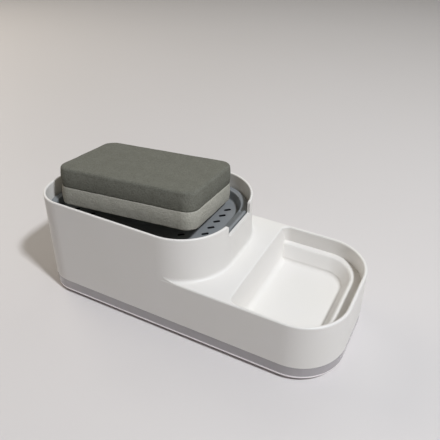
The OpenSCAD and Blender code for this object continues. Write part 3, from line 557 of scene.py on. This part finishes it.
class SpongeSizes(bpy.types.PropertyGroup):
    """Sizes, place and colours of the two-layer sponge"""
    length: bpy.props.FloatProperty(
        name="Length", description="Length of the sponge", default=112.98 * MM, unit="LENGTH")
    width: bpy.props.FloatProperty(
        name="Width", description="Width of the sponge", default=70.98 * MM, unit="LENGTH")
    corner: bpy.props.FloatProperty(
        name="Corner", description="Corner radius seen from above", default=9.9 * MM, unit="LENGTH")
    base_height: bpy.props.FloatProperty(
        name="Pale layer", description="Thickness of the pale lower layer", default=14 * MM, unit="LENGTH")
    top_height: bpy.props.FloatProperty(
        name="Dark layer", description="Thickness of the dark upper layer", default=14.8 * MM, unit="LENGTH")
    middle: bpy.props.FloatVectorProperty(
        name="Middle", description="Middle of the sponge's underside", size=3,
        default=(-50.3 * MM, 0.7 * MM, 72.333 * MM), unit="LENGTH", subtype="TRANSLATION", precision=5)
    turn: bpy.props.FloatProperty(
        name="Turn", description="Turn seen from above", default=math.radians(4), unit="ROTATION")
    lean_back: bpy.props.FloatProperty(
        name="Lean back", description="Lean towards the back", default=math.radians(8.304), unit="ROTATION")
    lean_end: bpy.props.FloatProperty(
        name="Lean to the end", description="Lean towards the closed end", default=math.radians(2.403),
        unit="ROTATION")
    voxel: bpy.props.FloatProperty(
        name="Mesh size", description="Size of the mesh that carries the cells", default=0.52 * MM, unit="LENGTH")
    cell: bpy.props.FloatProperty(
        name="Cell", description="Width of one open cell", default=1.3 * MM, unit="LENGTH")
    cell_depth: bpy.props.FloatProperty(
        name="Cell depth", description="Depth of one open cell", default=0.17 * MM, unit="LENGTH")
    dark_colour: bpy.props.StringProperty(
        name="Dark foam", description="Colour of the dark foam's struts", default="#717168")
    # Painted shade inside the dark foam's cells
    dark_pore_shade_colour: bpy.props.StringProperty(
        name="Dark foam cells", description="Colour inside the dark foam's cells", default="#535349")
    dark_tuft_colour: bpy.props.StringProperty(
        name="Dark foam tufts", description="Colour of the dark foam where it is rubbed up", default="#7c7c73")
    pale_colour: bpy.props.StringProperty(
        name="Pale foam", description="Colour of the pale foam's struts", default="#b2b0a5")
    # Painted shade inside the pale foam's cells
    pale_pore_shade_colour: bpy.props.StringProperty(
        name="Pale foam cells", description="Colour inside the pale foam's cells", default="#908d82")
    pale_tuft_colour: bpy.props.StringProperty(
        name="Pale foam tufts", description="Colour of the pale foam where it is rubbed up", default="#bbb8ae")


class StageSizes(bpy.types.PropertyGroup):
    """Floor, lamps and camera"""
    floor_size: bpy.props.FloatProperty(
        name="Floor", description="Side of the floor", default=6.0, unit="LENGTH")
    floor_colour: bpy.props.StringProperty(
        name="Floor colour", description="Colour of the counter", default="#d7d3d2")
    floor_warm_colour: bpy.props.StringProperty(
        name="Floor clouds", description="Warmer colour of the counter", default="#d5d1cf")
    sky_strength: bpy.props.FloatProperty(
        name="Room light", description="Strength of the light from all round", default=0.076)
    sky_colour: bpy.props.StringProperty(
        name="Room colour", description="Colour of the light from all round", default="#fff3ea")
    backdrop_colour: bpy.props.StringProperty(
        name="Backdrop", description="Colour seen past the end of the floor", default="#b4b2ac")
    lamp_level: bpy.props.FloatProperty(
        name="Lamps", description="Share of their power that all the lamps give", default=0.97)
    lens: bpy.props.FloatProperty(
        name="Lens", description="Focal length of the camera in millimetres, on a 36 mm wide frame", default=43.616)


class SOAP_OT_shell(bpy.types.Operator):
    """Gives the shell and the floor of its well their white ABS"""
    bl_idname = "soap.shell"
    bl_label = "White Shell"

    def execute(self, context):
        dress(WHITE_SHELL, moulded_white_abs(context.scene.soap_finish))
        return {"FINISHED"}


class SOAP_OT_plate(bpy.types.Operator):
    """Gives the press plate its grey ABS"""
    bl_idname = "soap.plate"
    bl_label = "Press Plate"

    def execute(self, context):
        dress(GREY_PLATE, moulded_grey_abs(context.scene.soap_finish))
        return {"FINISHED"}


class SOAP_OT_reservoir(bpy.types.Operator):
    """Gives the reservoir, its seal and its feet their clear styrene, silicone and rubber"""
    bl_idname = "soap.reservoir"
    bl_label = "Reservoir and Feet"

    def execute(self, context):
        dress(CLEAR_TANK, polished_clear_styrene(context.scene.soap_finish))
        dress(SILICONE, translucent_silicone())
        dress(RUBBER_FEET, moulded_rubber())
        return {"FINISHED"}


class SOAP_OT_pump(bpy.types.Operator):
    """Gives the pump's pieces their polypropylene, polyethylene and steel, and winds its spring"""
    bl_idname = "soap.pump"
    bl_label = "Pump"

    def execute(self, context):
        dress(NATURAL_PUMP, natural_polypropylene())
        dress(TUBE, extruded_polyethylene())
        dress(SOFT_PISTON, soft_polyethylene())
        steel = drawn_stainless_steel()
        dress(STEEL, steel)
        # The spring shortens under the plate, so it is a piece of its own, built at its rest height and riding on
        # the shell
        sizes = context.scene.soap_spring
        spring = coiled_wire("return_spring", sizes)
        spring.data.materials.append(steel)
        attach(spring, "shell")
        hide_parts("pump_spring")
        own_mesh(spring)
        return {"FINISHED"}


class SOAP_OT_sponge(bpy.types.Operator):
    """Builds the two foam layers with their open cells, where the CAD layers are"""
    bl_idname = "soap.sponge"
    bl_label = "Foam Sponge"

    def execute(self, context):
        sizes = context.scene.soap_sponge
        lie = (Matrix.Translation(sizes.middle) @ Matrix.Rotation(sizes.turn, 4, "Z")
               @ Matrix.Rotation(-sizes.lean_end, 4, "Y") @ Matrix.Rotation(-sizes.lean_back, 4, "X"))
        dark = open_cell_foam("Cut dark polyurethane foam", sizes.dark_colour, sizes.dark_pore_shade_colour,
                              sizes.dark_tuft_colour, sizes.cell)
        pale = open_cell_foam("Cut pale polyurethane foam", sizes.pale_colour, sizes.pale_pore_shade_colour,
                              sizes.pale_tuft_colour, sizes.cell)
        seam = sizes.base_height
        top = seam + sizes.top_height
        layers = (
            ("sponge_pale_foam", "sponge_base_layer", "pale_foam", pale,
             foam_profile(0.0, seam, PALE_EDGE, SEAM_EDGE, PALE_BULGE), 3),
            ("sponge_dark_foam", "sponge_top_layer", "dark_foam", dark,
             foam_profile(seam, top, SEAM_EDGE, DARK_EDGE, DARK_BULGE), 8),
        )
        tree = foam_cells_tree()
        for name, node, slot, material, rows, seed in layers:
            block = foam_block(name, sizes.length, sizes.width, sizes.corner, rows)
            remesh = block.modifiers.new("Even mesh", "REMESH")
            remesh.mode = "VOXEL"
            remesh.voxel_size = sizes.voxel
            cells = block.modifiers.new("Foam cells", "NODES")
            cells.node_group = tree
            set_inputs(cells, {
                "Cell Size": sizes.cell, "Cell Depth": sizes.cell_depth, "Uneven Height": FOAM_WAVES,
                "Seed": seed, "Material": material})
            bake_modifiers(block)
            block.data.transform(lie)
            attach(block, "sponge")
            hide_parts(node)
        return {"FINISHED"}


class SOAP_OT_stage(bpy.types.Operator):
    """Makes the pale counter, the soft light and the camera"""
    bl_idname = "soap.stage"
    bl_label = "Stage and Camera"

    def execute(self, context):
        scene = context.scene
        sizes = scene.soap_stage
        half = sizes.floor_size / 2
        mesh = bpy.data.meshes.new("Counter")
        corners = [(-half, -half, 0), (half, -half, 0), (half, half, 0), (-half, half, 0)]
        mesh.from_pydata(corners, [], [(0, 1, 2, 3)])
        mesh.materials.append(laminate_counter(sizes))
        counter = bpy.data.objects.new("Counter", mesh)
        scene.collection.objects.link(counter)

        world = bpy.data.worlds.new("Soft room light")
        world.use_nodes = True
        room = world.node_tree
        room.nodes.clear()
        sky = add_node(room, "ShaderNodeBackground", {
            "Color": linear(sizes.sky_colour), "Strength": sizes.sky_strength})
        # Past the end of the floor, the eye and the reflections meet a pale backdrop that gives no light of its own
        backdrop = add_node(room, "ShaderNodeBackground", {"Color": linear(sizes.backdrop_colour), "Strength": 1.0})
        ray = add_node(room, "ShaderNodeLightPath").outputs
        mirrored = add_node(room, "ShaderNodeMath", {
            0: ray["Is Glossy Ray"], 1: ray["Is Transmission Ray"]}, operation="MAXIMUM").outputs[0]
        seen = add_node(room, "ShaderNodeMath", {
            0: ray["Is Camera Ray"], 1: mirrored}, operation="MAXIMUM").outputs[0]
        view = add_node(room, "ShaderNodeMixShader", {0: seen, 1: sky.outputs[0], 2: backdrop.outputs[0]})
        add_node(room, "ShaderNodeOutputWorld", {"Surface": view.outputs[0]})
        scene.world = world

        for name, place, side, power, colour in LAMPS:
            light = bpy.data.lights.new(name, "AREA")
            light.shape = "SQUARE"
            light.size = side
            light.energy = power * sizes.lamp_level
            light.color = linear(colour)[:3]
            lamp = bpy.data.objects.new(name, light)
            lamp.location = place
            lamp.rotation_euler = (-Vector(place)).to_track_quat("-Z", "Y").to_euler()
            scene.collection.objects.link(lamp)

        lens = bpy.data.cameras.new("Camera")
        lens.sensor_width = 36.0
        lens.sensor_fit = "HORIZONTAL"
        lens.lens = sizes.lens
        lens.clip_start = 0.01
        lens.clip_end = 20.0
        camera = bpy.data.objects.new("Camera", lens)
        turn = Matrix((CAMERA_RIGHT, CAMERA_UP, CAMERA_BACK)).transposed().to_4x4()
        camera.matrix_world = Matrix.Translation(CAMERA_PLACE) @ turn
        scene.collection.objects.link(camera)
        scene.camera = camera
        scene.view_settings.view_transform = "Standard"
        return {"FINISHED"}


class SOAP_PT_pieces(bpy.types.Panel):
    """Lists the dispenser's pieces and stage"""
    bl_label = "Soap Dispenser"
    bl_idname = "SOAP_PT_pieces"
    bl_space_type = "VIEW_3D"
    bl_region_type = "UI"
    bl_category = "Soap Dispenser"

    def draw(self, context):
        for operator in OPERATORS:
            self.layout.operator(operator.bl_idname)
        scene = context.scene
        for group in (scene.soap_finish, scene.soap_spring, scene.soap_sponge, scene.soap_stage):
            box = self.layout.box()
            for name in group.__annotations__:
                box.prop(group, name)


OPERATORS = (SOAP_OT_shell, SOAP_OT_plate, SOAP_OT_reservoir, SOAP_OT_pump, SOAP_OT_sponge, SOAP_OT_stage)
CLASSES = (ShellFinish, SpringSizes, SpongeSizes, StageSizes) + OPERATORS + (SOAP_PT_pieces,)


def register():
    for cls in CLASSES:
        bpy.utils.register_class(cls)
    bpy.types.Scene.soap_finish = bpy.props.PointerProperty(type=ShellFinish)
    bpy.types.Scene.soap_spring = bpy.props.PointerProperty(type=SpringSizes)
    bpy.types.Scene.soap_sponge = bpy.props.PointerProperty(type=SpongeSizes)
    bpy.types.Scene.soap_stage = bpy.props.PointerProperty(type=StageSizes)


def unregister():
    del bpy.types.Scene.soap_stage
    del bpy.types.Scene.soap_sponge
    del bpy.types.Scene.soap_spring
    del bpy.types.Scene.soap_finish
    for cls in reversed(CLASSES):
        bpy.utils.unregister_class(cls)


def main():
    register()
    bpy.ops.soap.shell()
    bpy.ops.soap.plate()
    bpy.ops.soap.reservoir()
    bpy.ops.soap.pump()
    bpy.ops.soap.sponge()
    bpy.ops.soap.stage()


if __name__ == "__main__":
    main()
